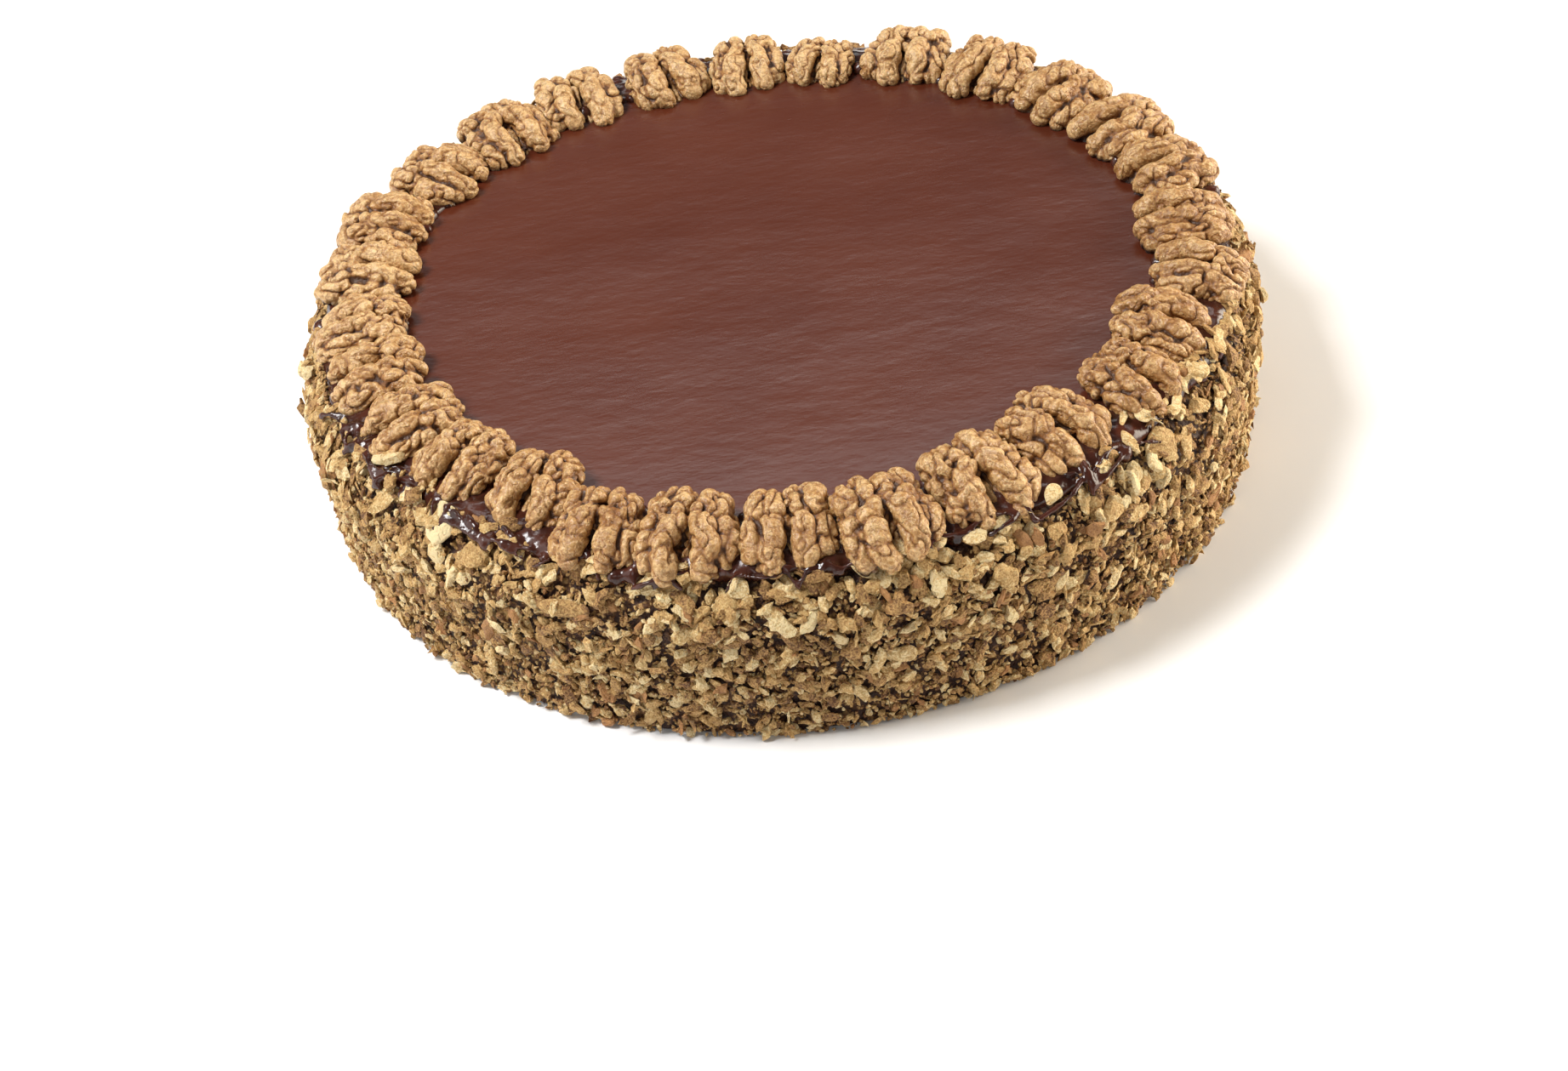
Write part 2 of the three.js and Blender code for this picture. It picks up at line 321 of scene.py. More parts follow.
def chopped_walnut():
    """Pale broken flesh, each piece of its own tone, and brown skin on a few."""
    finish = Finish(
        "chopped walnut", Specular_IOR_Level=0.4, Subsurface_Weight=0.1, Subsurface_Scale=0.6 * MILLIMETRE,
        Subsurface_Radius=(1.0, 0.6, 0.3),
    )
    grain = finish.mottle(0.5, detail=3.0)
    patches = finish.mottle(1.6, detail=3.0)
    flesh = nut_flesh(finish.attribute("tone") + patches + grain * 1.5 - 1.32)
    husk = (patches * 0.6 + grain * 0.4).colours((0.3, srgb(140, 94, 54)), (0.7, srgb(194, 144, 90)))
    flesh = finish.mix(finish.attribute("skin"), flesh, husk)
    bump = finish.relief(grain, 0.5)
    bump = finish.relief(patches, 0.8, under=bump)
    return finish.feed(Base_Color=flesh, Roughness=0.5 + 0.3 * patches, Normal=bump)


def chocolate_coat():
    """Packed nut meal, each grain of its own tone, with the chocolate showing where grains are missing."""
    finish = Finish("chocolate coat")
    lumps = finish.mottle(3.0, detail=4.0)
    dust = finish.mottle(0.7, detail=2.0)
    grains = {"Vector": finish.bent(1.2, 2.5), "Scale": 1 / (1.7 * MILLIMETRE)}
    gap = finish.node("ShaderNodeTexVoronoi", None, grains, output="Distance")
    own = finish.node("ShaderNodeTexVoronoi", None, grains, output="Color")
    own = finish.node("ShaderNodeSeparateColor", None, {"Color": own}, output="Red")
    chocolate = (lumps * 0.6 + dust * 0.4).colours((0.35, srgb(42, 20, 10)), (0.7, srgb(84, 48, 26)))
    # Each grain is darker towards its rim, where the bump below dips between grains: painted shade.
    meal = nut_flesh(own * 0.8 + dust * 0.8 - 0.5 - 0.5 * gap.between(0.3, 0.8))
    # More meal covers the chocolate where the attribute is higher; it is raised at the left side and lowered
    # at the front, painted light and shade.
    stuck = (lumps + finish.attribute("dusted") * 0.2).between(0.64, 0.71)
    bump = finish.relief(lumps, 1.0)
    bump = finish.relief(1 - gap, 0.8, under=bump)
    bump = finish.relief(dust, 0.3, under=bump)
    return finish.feed(
        Base_Color=finish.mix(stuck, chocolate, meal), Roughness=0.5 + 0.3 * dust, Normal=bump,
    )


def dark_ganache():
    finish = Finish("dark ganache", Specular_IOR_Level=0.45)
    clouds = finish.mottle(7.0)
    tint = clouds.colours((0.3, srgb(40, 17, 11)), (0.7, srgb(78, 39, 27)))
    bump = finish.relief(finish.mottle(2.6, detail=3.0), 0.25)
    return finish.feed(Base_Color=tint, Roughness=0.13 + 0.16 * clouds, Normal=bump)


def satin_glaze():
    """Brown chocolate with faint ripples that all run one way."""
    finish = Finish("satin glaze", Specular_IOR_Level=0.42)
    clouds = finish.mottle(46.0, detail=2.0)
    tint = clouds.colours((0.3, srgb(79, 34, 19)), (0.7, srgb(86, 40, 24)))
    wide = finish.mottle(1.0, detail=1.0, place=finish.stretched((0.08, 0.14, 0.1), turn=-0.4))
    ripples = finish.mottle(1.0, detail=2.0, place=finish.stretched((0.2, 0.42, 0.3), turn=-0.45))
    bump = finish.relief(wide, 0.1)
    bump = finish.relief(ripples, 0.09, under=bump)
    streaks = finish.mottle(9.0, place=finish.stretched((0.35, 1.0, 1.0)))
    return finish.feed(Base_Color=tint, Roughness=0.23 + 0.08 * streaks, Normal=bump)


# Meshes

def placed(name, data):
    """A new object in the scene."""
    made = bpy.data.objects.new(name, data)
    bpy.context.scene.collection.objects.link(made)
    return made


def mesh_from(shape, name):
    """A bmesh, closed and facing outwards, as a mesh."""
    bmesh.ops.recalc_face_normals(shape, faces=shape.faces[:])
    mesh = bpy.data.meshes.new(name)
    shape.to_mesh(mesh)
    shape.free()
    return mesh


def with_modifiers(mesh, *modifiers):
    """The mesh after these modifiers, each a kind and its settings."""
    holder = placed("holder", mesh)
    for kind, settings in modifiers:
        modifier = holder.modifiers.new(kind, kind)
        for name, value in settings.items():
            setattr(modifier, name, value)
    graph = bpy.context.evaluated_depsgraph_get()
    result = bpy.data.meshes.new_from_object(holder.evaluated_get(graph))
    result.name = mesh.name
    bpy.data.objects.remove(holder)
    bpy.data.meshes.remove(mesh)
    return result


def corners_and_triangles(shape):
    """A bmesh as two arrays, which many copies can be made from."""
    bmesh.ops.triangulate(shape, faces=shape.faces[:])
    bmesh.ops.recalc_face_normals(shape, faces=shape.faces[:])
    shape.verts.index_update()
    corners = np.array([corner.co[:] for corner in shape.verts])
    triangles = np.array([[corner.index for corner in face.verts] for face in shape.faces])
    shape.free()
    return corners, triangles


def joined(name, parts):
    """One mesh of many small closed shapes, each given as its corners and triangles."""
    counts = [len(corners) for corners, _ in parts]
    starts = np.cumsum([0] + counts[:-1])
    corners = np.concatenate([corners for corners, _ in parts])
    triangles = np.concatenate([own + start for (_, own), start in zip(parts, starts)])
    mesh = bpy.data.meshes.new(name)
    mesh.vertices.add(len(corners))
    mesh.loops.add(triangles.size)
    mesh.polygons.add(len(triangles))
    mesh.vertices.foreach_set("co", corners.astype(np.float32).ravel())
    mesh.loops.foreach_set("vertex_index", triangles.astype(np.int32).ravel())
    mesh.polygons.foreach_set("loop_start", np.arange(0, triangles.size, 3, dtype=np.int32))
    mesh.update(calc_edges=True)
    return mesh


def ball_shape():
    """Corners and triangles of a ball of radius 1."""
    shape = bmesh.new()
    bmesh.ops.create_icosphere(shape, subdivisions=3, radius=1)
    return corners_and_triangles(shape)


BALL = ball_shape()


def mesh_of_balls(balls, name):
    """Overlapping balls of (x, y, z, radius) as one mesh, ready to be melted."""
    corners, triangles = BALL
    return joined(name, [(corners * radius + (x, y, z), triangles) for x, y, z, radius in balls])


def melted(mesh, grain, smoothing):
    """Overlapping closed shapes run together into one skin, as with clay."""
    return with_modifiers(
        mesh,
        ("REMESH", {"mode": "VOXEL", "voxel_size": grain, "adaptivity": 0.0}),
        ("SMOOTH", {"factor": 0.5, "iterations": smoothing}),
    )


def corners_of(mesh):
    """The corners of a mesh and the outward directions there, as arrays."""
    corners = np.empty(len(mesh.vertices) * 3)
    outward = np.empty(len(mesh.vertices) * 3)
    mesh.vertices.foreach_get("co", corners)
    mesh.vertex_normals.foreach_get("vector", outward)
    return corners.reshape(-1, 3), outward.reshape(-1, 3)


def move_corners(mesh, corners):
    mesh.vertices.foreach_set("co", np.asarray(corners, dtype=np.float32).ravel())
    mesh.update()


def mark(mesh, name, values):
    """Keeps a number at each corner, which the finish reads by name."""
    layer = mesh.attributes.new(name, "FLOAT", "POINT")
    layer.data.foreach_set("value", np.asarray(values, dtype=np.float32))


def hollows(mesh, rounds):
    """How far each corner lies below its smoothed surroundings, in millimetres."""
    corners, outward = corners_of(mesh)
    edges = np.empty(len(mesh.edges) * 2, dtype=np.int32)
    mesh.edges.foreach_get("vertices", edges)
    first, second = edges.reshape(-1, 2).T
    count = len(corners)
    neighbours = np.bincount(first, minlength=count) + np.bincount(second, minlength=count)
    smooth = corners.copy()
    for _ in range(rounds):
        sums = [
            np.bincount(first, smooth[second, axis], count) + np.bincount(second, smooth[first, axis], count)
            for axis in range(3)
        ]
        smooth = np.stack(sums, axis=1) / neighbours[:, None]
    return ((smooth - corners) * outward).sum(axis=1)


def piece(name, mesh, finish, slot, *nodes):
    """Hands a mesh in millimetres over as a finished piece that stands for these nodes."""
    mesh.transform(Matrix.Scale(MILLIMETRE, 4))
    mesh.materials.clear()
    mesh.materials.append(finish)
    made = placed(name, mesh)
    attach(made, "root")
    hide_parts(*nodes)


def spun(profile, steps, name):
    """A closed or axis-to-axis profile of (radius, height) points, turned about the upright axis."""
    shape = bmesh.new()
    corners = [shape.verts.new((radius, 0, height)) for radius, height in profile]
    for pair in zip(corners, corners[1:]):
        shape.edges.new(pair)
    turned = with_modifiers(
        mesh_from(shape, name),
        ("SCREW", {"angle": 2 * math.pi, "steps": steps, "render_steps": steps, "use_merge_vertices": True,
                   "merge_threshold": 1e-4}),
    )
    shape = bmesh.new()
    shape.from_mesh(turned)
    bpy.data.meshes.remove(turned)
    return mesh_from(shape, name)


# Noise and places on the cake

class SoftNoise:
    """Gradient noise over space, from about -1 to 1."""

    def __init__(self, seed):
        source = np.random.default_rng(seed)
        self.order = source.permutation(256)
        slopes = source.normal(size=(256, 3))
        self.slopes = slopes / np.linalg.norm(slopes, axis=1, keepdims=True)

    def at(self, places):
        low = np.floor(places)
        within = places - low
        low = low.astype(np.int64)
        ease = within ** 3 * (within * (within * 6 - 15) + 10)
        total = np.zeros(len(places))
        for corner in np.ndindex(2, 2, 2):
            x, y, z = (low + corner).T
            picked = self.order[(self.order[(self.order[x & 255] + y) & 255] + z) & 255]
            weight = np.prod(np.where(corner, ease, 1 - ease), axis=1)
            total += weight * (self.slopes[picked] * (within - corner)).sum(axis=1)
        return 1.5 * total


SOFT_NOISE = SoftNoise(5)


def noise_at(points, size, seed=0.0):
    """Soft noise at each point, its patches so many millimetres across."""
    offset = np.array((seed, 2.3 * seed, -1.7 * seed))
    return SOFT_NOISE.at(np.asarray(points) / size + offset)


def folds_at(points, size, width, seed=0.0):
    """1 along thin winding lines, 0 away from them."""
    return np.clip(1 - np.abs(noise_at(points, size, seed)) / width, 0, 1)


def bump_at(directions, middle, width):
    """1 at one direction round the cake, falling softly to 0 so many degrees away."""
    return np.exp(-((directions - middle) / width) ** 2)


def directions_of(corners):
    return np.degrees(np.arctan2(corners[:, 1], corners[:, 0]))


def shoulder(distance, angle):
    """(radius, height) at a distance from the shoulder's centre, the angle in degrees up from level."""
    around = math.radians(angle)
    return (SHOULDER_R + distance * math.cos(around), SHOULDER_Z + distance * math.sin(around))


def on_surface(angle, distance, direction):
    """A point over the rim: the angle is 90 on the flat top and less down the shoulder."""
    radius, height = shoulder(distance, angle)
    around = math.radians(direction)
    return radius * math.cos(around), radius * math.sin(around), height


def lower_at_back(corners):
    """Lets the outer rim down a little at the back of the cake, behind the walnut halves."""
    outer = np.clip((np.hypot(corners[:, 0], corners[:, 1]) - RIM_DROP_FROM_RADIUS) / 5, 0, 1)
    corners[:, 2] -= RIM_DROP_AT_BACK * bump_at(directions_of(corners), BACK, BACK_WIDTH) * outer


# Walnut halves

def lobe(draw, path, pleat):
    """Overlapping balls along a path of (x, y, z, radius). Their radius swells and shrinks in pleats."""
    balls = []
    phase = draw.uniform(0, 6)
    walked = 0.0
    for here, there in zip(path, path[1:]):
        length = math.dist(here[:3], there[:3])
        steps = max(1, round(length / 1.1))
        for step in range(steps):
            x, y, z, radius = (a + (b - a) * step / steps for a, b in zip(here, there))
            swell = 1 + pleat * math.sin(phase + 1.9 * walked)
            balls.append((x, y, z, radius * swell))
            walked += length / steps
    return balls + [path[-1]]


def lobe_gaps(corners, lobes):
    """How far each corner lies from each lobe, one row for a lobe."""
    rows = []
    for balls in lobes:
        balls = np.array(balls)
        gaps = np.linalg.norm(corners[:, None, :] - balls[None, :, :3], axis=2) - balls[:, 3]
        rows.append(gaps.min(axis=1))
    return np.array(rows)


def grooves(gaps, width):
    """1 where two lobes meet, falling to 0 at this distance from the meeting line."""
    nearest = np.partition(gaps, 1, axis=0)
    return np.clip(1 - (nearest[1] - nearest[0]) / width, 0, 1)


def shaken_path(draw, path, reach, side):
    """The path on one side of the kernel, each point and radius moved a little."""
    return [
        (x + draw.uniform(-reach, reach), side * (y + draw.uniform(-reach, reach)),
         z + 0.5 * draw.uniform(-reach, reach), radius * draw.uniform(0.9, 1.1))
        for x, y, z, radius in path
    ]


def kernel_lobes(draw):
    """The lobes of a half, its deep cleft at +X, the two thumbs beside the cleft first. On each side
    lie a thumb, a broad flank outside it, a rounded mass behind them and small lobes at the rim."""
    lobes = []
    spread = draw.uniform(-0.4, 0.6)
    arched = draw.random() < 0.75
    for side in (-1, 1):
        reach = draw.uniform(-2.0, 0.4)
        thumb = [(11.4 + reach, 4.6 + spread, 1.8, 3.1), (8.2 + reach, 5.1 + spread, 3.8, 3.7),
                 (3.8, 4.8 + spread, 5.0, 3.7), (-0.6, 4.3, 5.9, 3.3)]
        if arched:
            thumb += [(-3.0, 2.6, 6.2, 2.8)]
        flank = [(9.0 + reach, 9.0, 0.9, 3.1), (5.6, 9.5, 2.2, 3.5), (1.6, 9.4, 2.8, 3.7),
                 (-2.4, 9.0, 3.1, 3.5)]
        back = [(-4.6, 6.8, 4.3, 3.6), (-8.4, 7.4, 2.8, 3.8), (-10.6, 5.8, 1.7, 3.3)]
        inner = [(-5.4, 3.0, 5.4, 2.8), (-8.6, 3.2, 4.2, 3.0), (-11.8, 2.7, 2.0, 2.8)]
        lobes.insert(0, lobe(draw, shaken_path(draw, thumb, 0.7, side), 0.03))
        for path in (flank, back, inner):
            lobes.append(lobe(draw, shaken_path(draw, path, 0.8, side), 0.08))
        for bearing in (48, 68, 90, 112, 134, 154):
            angle = math.radians(bearing + draw.uniform(-8, 8))
            radius = draw.uniform(2.0, 2.7)
            x, y = (14.8 - radius) * math.cos(angle), side * (13.1 - radius) * math.sin(angle)
            lobes.append([(x, y, draw.uniform(0.8, 1.6), radius), (0.86 * x, 0.84 * y, 2.6, radius)])
    bridge = [(-3, -0.3, 4.0, 1.9), (1, 0.3, 2.8, 1.2), (6, -0.3, 1.6, 0.9), (10, 0.3, 0.4, 0.7)]
    lobes.append(lobe(draw, shaken_path(draw, bridge, 0.4, 1), 0.05))
    lobes.append([
        (x, y, -0.5, 3.4) for x in range(-10, 10, 2) for y in range(-8, 9, 2)
        if (x / 10.5) ** 2 + (y / 9) ** 2 < 1 and (x < 2 or abs(y) > 3)
    ])
    return lobes


def walnut_half(index, direction, size):
    """A domed kernel half of melted lobes, with winding folds across them all."""
    draw = random.Random(500 + index)
    lobes = kernel_lobes(draw)
    mesh = melted(mesh_of_balls(sum(lobes, []), f"walnut {index}"), KERNEL_GRAIN, 1)

    corners, outward = corners_of(mesh)
    seed = 11.0 + index
    gaps = lobe_gaps(corners, lobes)
    seam = grooves(gaps, 1.0)
    beside_thumbs = gaps[:2].min(axis=0) - gaps.min(axis=0)
    uneven = np.clip(0.7 + 0.4 * beside_thumbs, 0.7, 1)
    warp = np.stack([noise_at(corners, 6.0, seed + axis) for axis in (1, 2, 3)], axis=1)
    folded = corners + 2.4 * warp
    winding = noise_at(folded / (1.5, 1.0, 1.2), 4.4, seed)
    deep = np.clip(1 - np.abs(winding) / 0.2, 0, 1)
    wrinkled = draw.uniform(0.6, 1.2)
    fine = wrinkled * folds_at(folded / (2.0, 1.0, 1.0), 2.3, 0.22, seed + 5)
    swell = np.minimum(np.abs(winding), 0.5)
    rise = uneven * (0.8 * swell - 0.9 * deep ** 1.3 - 0.2 * fine) - 0.4 * seam ** 1.5
    move_corners(mesh, corners + outward * rise[:, None] + 0.5 * uneven[:, None] * warp)

    # How deep each corner lies in a hollow, fold or seam, for the painted shade in the creases.
    crease = np.clip(hollows(mesh, 35), -0.5, 1.4) + 0.4 * uneven * deep + 0.15 * fine + 0.25 * seam ** 1.5
    # Painted light: each half is made paler or darker by its direction round the rim, carried in its tone.
    painted_paleness = np.interp(direction, (0, 90, 180, 270, 360), PAINTED_LIGHT_ROUND_RIM)
    tone = draw.uniform(0.3, 0.7) + painted_paleness + 0.45 * noise_at(corners, 6.0, seed + 2)
    smear = (1.0 - corners[:, 2]) / 1.5 + 0.8 * noise_at(corners, 5.0, seed + 9)
    mark(mesh, "crease", crease)
    mark(mesh, "tone", tone)
    mark(mesh, "smear", np.clip(smear, 0, 1))
    mesh.transform(Matrix.Scale(size, 4))
    return mesh


def seat_walnut(mesh, direction, radius, turn):
    """Sets a half on the rim, leaning outwards."""
    around = math.radians(direction)
    lean = math.radians(MEAN_LEAN - LEAN_TO_FRONT * math.sin(around))
    mesh.transform(
        Matrix.Translation((radius * math.cos(around), radius * math.sin(around), WALNUT_SEAT_HEIGHT))
        @ Matrix.Rotation(around, 4, "Z")
        @ Matrix.Rotation(lean, 4, "Y")
        @ Matrix.Rotation(math.radians(turn), 4, "Z")
    )


def make_walnuts(finish):
    for index, (direction, radius, turn, size) in enumerate(WALNUTS, start=1):
        mesh = walnut_half(index, direction, size)
        seat_walnut(mesh, direction, radius, turn)
        mesh.shade_smooth()
        piece(f"kernel_{index:02d}", mesh, finish, "walnut_half", f"walnut_{index:02d}")


# Glaze, ganache and the body under the coat

def make_glaze(finish):
    """The poured top. It lies in faint waves and rolls over the edge under the ganache."""
    flat = [(SHOULDER_R * i / 96, GLAZE_TOP) for i in range(97)]
    over = [shoulder(SHOULDER_RADIUS + GLAZE_THICKNESS, angle) for angle in range(84, 59, -6)]
    under = [shoulder(SHOULDER_RADIUS + GLAZE_GAP, angle) for angle in range(60, 91, 6)]
    mesh = spun(flat + over + under + [(0, BODY_HEIGHT + GLAZE_GAP)], 420, "glaze")
    corners, _ = corners_of(mesh)
    on_top = corners[:, 2] > GLAZE_TOP - 0.5
    wide = corners * (1 / 60, 1 / 34, 0)
    ripple = corners * (1 / 15, 1 / 6.5, 0)
    corners[:, 2] += on_top * (0.2 * noise_at(wide, 1.0, 3) + 0.035 * noise_at(ripple, 1.0, 8))
    lower_at_back(corners)
    move_corners(mesh, corners)
    mesh.shade_smooth()
    piece("poured_glaze", mesh, finish, "chocolate_glaze", "glaze")


def strand(draw, start, end, thickness):
    """Balls along a thread of ganache between two (angle, direction) places, in a loose curve."""
    balls = []
    bow = draw.uniform(-5, 5)
    for step in range(15):
        share = step / 14
        angle = start[0] + (end[0] - start[0]) * share + bow * math.sin(math.pi * share)
        direction = start[1] + (end[1] - start[1]) * share
        lift = 18.0 + 1.6 * math.sin(math.pi * share)
        balls.append((*on_surface(angle, lift, direction), thickness * draw.uniform(0.85, 1.15)))
    return balls


def make_ganache(finish):
    """A ragged bead round the rim, with blobs on both its sides and strands at the front."""
    draw = random.Random(31)
    balls = []
    for _ in range(OUTER_BLOBS):
        place = on_surface(draw.uniform(54, 80), 16.6 + draw.uniform(-0.5, 0.8), draw.uniform(0, 360))
        balls.append((*place, draw.uniform(1.3, 2.6)))
    for _ in range(INNER_BLOBS):
        direction = math.radians(draw.uniform(0, 360))
        radius = draw.uniform(109.5, 113.5)
        balls.append((radius * math.cos(direction), radius * math.sin(direction),
                      54.8 + draw.uniform(0, 0.9), draw.uniform(1.2, 2.6)))
    for _ in range(STRANDS):
        direction = draw.uniform(195, 312)
        start = (draw.uniform(58, 76), direction)
        end = (draw.uniform(44, 62), direction + draw.uniform(-9, 9))
        balls += strand(draw, start, end, draw.uniform(0.5, 0.95))

    inside = [(110.5, 54.0), (111.2, 56.0), (113.5, 56.3)]
    outside = [shoulder(18.3, angle) for angle in range(90, 63, -4)]
    foot = [shoulder(17.4, 60), shoulder(16.2, 57), shoulder(14.0, 57), (116, 51.0)]
    shape = bmesh.new()
    shape.from_mesh(spun(inside + outside + foot + inside[:1], 300, "bead"))
    shape.from_mesh(mesh_of_balls(balls, "blobs"))
    mesh = melted(mesh_from(shape, "ganache"), GANACHE_GRAIN, 2)
    corners, outward = corners_of(mesh)
    rise = 0.5 * noise_at(corners, 6.0, 4) + 0.35 * noise_at(corners, 2.6, 6)
    corners += outward * rise[:, None]
    lower_at_back(corners)
    move_corners(mesh, corners)
    mesh.shade_smooth()
    piece("ganache", mesh, finish, "dark_ganache", "ganache_bead")


def make_core(finish):
    """The body in its chocolate coat, seen only in the gaps between the chopped pieces."""
    side = []
    for ring in range(CORE_RINGS + 1):
        share = ring / CORE_RINGS
        side.append((BODY_RADIUS - BASE_TAPER * (1 - share) - CORE_INSET, SHOULDER_Z * share))
    over = [shoulder(SHOULDER_RADIUS - CORE_INSET, CORE_STEP_UP_SHOULDER * i) for i in range(1, 28)]
    top = BODY_HEIGHT - CORE_INSET
    profile = [(0, 0), (CORE_FLAT_RADIUS, 0)] + side + over + [(CORE_FLAT_RADIUS, top), (0, top)]
    mesh = spun(profile, CORE_STEPS_ROUND, "core")
    corners, outward = corners_of(mesh)
    grains = 1.2 * np.abs(noise_at(corners, 2.8, 2)) + 0.9 * np.abs(noise_at(corners, 1.7, 7))
    rough = (corners[:, 2] > 0.3) * (0.5 * noise_at(corners, 6.0, 3) + grains - 0.4)
    move_corners(mesh, corners + outward * rough[:, None])
    directions = directions_of(corners) % 360
    # Meal cover with painted light and shade: more meal at the left side, less at the front.
    mark(mesh, "dusted", 0.75 + 0.8 * bump_at(directions, 180, 32) - 0.2 * bump_at(directions, 275, 35))
    mesh.shade_smooth()
    piece("cake_core", mesh, finish, "chopped_walnut", "cake")


# Chopped walnut. The small shapes are about 1 unit long, and each piece gives them its own size.

def shake(shape, draw, reach):
    for corner in shape.verts:
        corner.co += Vector(draw.uniform(-reach, reach) for _ in range(3))


def break_off(shape, direction, distance):
    """Cuts a shape across at this distance from its middle and closes the cut."""
    cut = bmesh.ops.bisect_plane(
        shape, geom=shape.verts[:] + shape.edges[:] + shape.faces[:], plane_co=direction * distance,
        plane_no=direction, clear_outer=True,
    )
    rim = [part for part in cut["geom_cut"] if isinstance(part, bmesh.types.BMEdge)]
    bmesh.ops.holes_fill(shape, edges=rim, sides=0)


def lump_shape(draw):
    """A rounded piece with two or three broken faces."""
    shape = bmesh.new()
    bmesh.ops.create_icosphere(shape, subdivisions=2, radius=0.5)
    shake(shape, draw, 0.045)
    for _ in range(draw.choice((2, 3))):
        direction = Vector(draw.uniform(-1, 1) for _ in range(3)).normalized()
        break_off(shape, direction, draw.uniform(0.2, 0.36))
    return corners_and_triangles(shape)


def flake_shape(draw, thinnest, thickest, curl):
    """A broken flake, jagged round its edge and bent up to curl."""
    shape = bmesh.new()
    sides = draw.choice((9, 10, 11))
    bmesh.ops.create_circle(shape, cap_ends=True, radius=0.5, segments=sides)
    for corner in shape.verts:
        corner.co *= draw.uniform(0.5, 1.2)
    thick = draw.uniform(thinnest, thickest)
    made = bmesh.ops.extrude_face_region(shape, geom=shape.faces[:])
    raised = [part for part in made["geom"] if isinstance(part, bmesh.types.BMVert)]
    bmesh.ops.translate(shape, verts=raised, vec=(0, 0, thick))
    bmesh.ops.scale(shape, verts=raised, vec=(draw.uniform(0.6, 0.95), draw.uniform(0.6, 0.95), 1))
    caps = [face for face in shape.faces if len(face.verts) == sides]
    bmesh.ops.poke(shape, faces=caps, offset=0.05)
    bend = draw.uniform(-curl, curl)
    for corner in shape.verts:
        corner.co.z += bend * corner.co.x ** 2 + 0.3 * bend * corner.co.y
    shake(shape, draw, 0.035)
    return corners_and_triangles(shape)


def large_flake(draw, length, width, detail, seed):
    """A large bent flake with an uneven face and two broken edges, in millimetres."""
    shape = bmesh.new()
    bmesh.ops.create_icosphere(shape, subdivisions=detail, radius=0.5)
    for _ in range(2):
        direction = Vector((draw.uniform(-1, 1), draw.uniform(-1, 1), 0.3)).normalized()
        break_off(shape, direction, draw.uniform(0.25, 0.4))
    bmesh.ops.remove_doubles(shape, verts=shape.verts[:], dist=0.002)
    corners, triangles = corners_and_triangles(shape)
    corners = corners * (length, width, 0.28 * width)
    shift = np.stack([
        0.8 * noise_at(corners, 3.0, seed), 0.6 * noise_at(corners, 3.0, seed + 4),
        0.35 * noise_at(corners, 2.0, seed + 8),
    ], axis=1)
    corners = corners + shift
    corners[:, 2] += 0.012 * draw.uniform(-1, 1) * corners[:, 0] ** 2
    return corners, triangles


def pebble_shape(draw):
    """A flat rounded chip with a torn rim and one straight broken edge."""
    shape = bmesh.new()
    bmesh.ops.create_uvsphere(shape, u_segments=8, v_segments=4, radius=0.5)
    waves = [(draw.randint(2, 6), draw.uniform(0, 6), draw.uniform(0.04, 0.13)) for _ in range(3)]
    for corner in shape.verts:
        around = math.atan2(corner.co.y, corner.co.x)
        reach = 1 + sum(depth * math.sin(count * around + phase) for count, phase, depth in waves)
        corner.co.x *= reach
        corner.co.y *= reach
    shake(shape, draw, 0.05)
    direction = Vector((draw.uniform(-1, 1), draw.uniform(-1, 1), 0.4)).normalized()
    break_off(shape, direction, draw.uniform(0.15, 0.35))
    return corners_and_triangles(shape)


def crumb_shape(draw):
    """A small angular grain."""
    shape = bmesh.new()
    bmesh.ops.create_icosphere(shape, subdivisions=1, radius=0.5)
    shake(shape, draw, 0.13)
    return corners_and_triangles(shape)


def splinter_shape(draw):
    """A thin sliver with pointed ends."""
    shape = bmesh.new()
    bmesh.ops.create_cone(shape, cap_ends=True, segments=5, radius1=0.12, radius2=0.05, depth=0.5)
    bmesh.ops.translate(shape, verts=shape.verts[:], vec=(0, 0, 0.25))
    low = bmesh.ops.create_cone(shape, cap_ends=True, segments=5, radius1=0.04, radius2=0.12, depth=0.5)
    bmesh.ops.translate(shape, verts=low["verts"], vec=(0, 0, -0.25))
    level = Matrix.Rotation(math.pi / 2, 3, "Y")
    bmesh.ops.rotate(shape, verts=shape.verts[:], cent=(0, 0, 0), matrix=level)
    shake(shape, draw, 0.03)
    return corners_and_triangles(shape)


def coat_edges():
    """How far up the side the chopped coat reaches at each whole degree round the cake."""
    directions = np.arange(360)
    around = np.radians(directions)
    ragged = noise_at(np.column_stack([6 * np.cos(around), 6 * np.sin(around), 0 * around + 0.3]), 1.0)
    edge = COAT_REACHES + 3.0 * ragged
    edge += 5.0 * bump_at(directions, 321, 24) + 4.5 * bump_at(directions, 222, 24)
    for pocket in POCKETS:
        edge -= POCKET_DEPTH * bump_at(directions, pocket, POCKET_WIDTH)
    return edge - 1.5 * bump_at(directions, BACK, BACK_WIDTH)


COAT_EDGE = coat_edges()


def bare_share(direction, up):
    """The share of pieces missing at a place: most are missing in patches near the top right front."""
    high = min(1, max(0, (up - 26) / 12))
    patches = 0.24 * bump_at(direction, 318, 18) + 0.2 * bump_at(direction, 232, 10)
    return high * patches + 0.06 - 0.06 * math.sin(math.radians(direction))


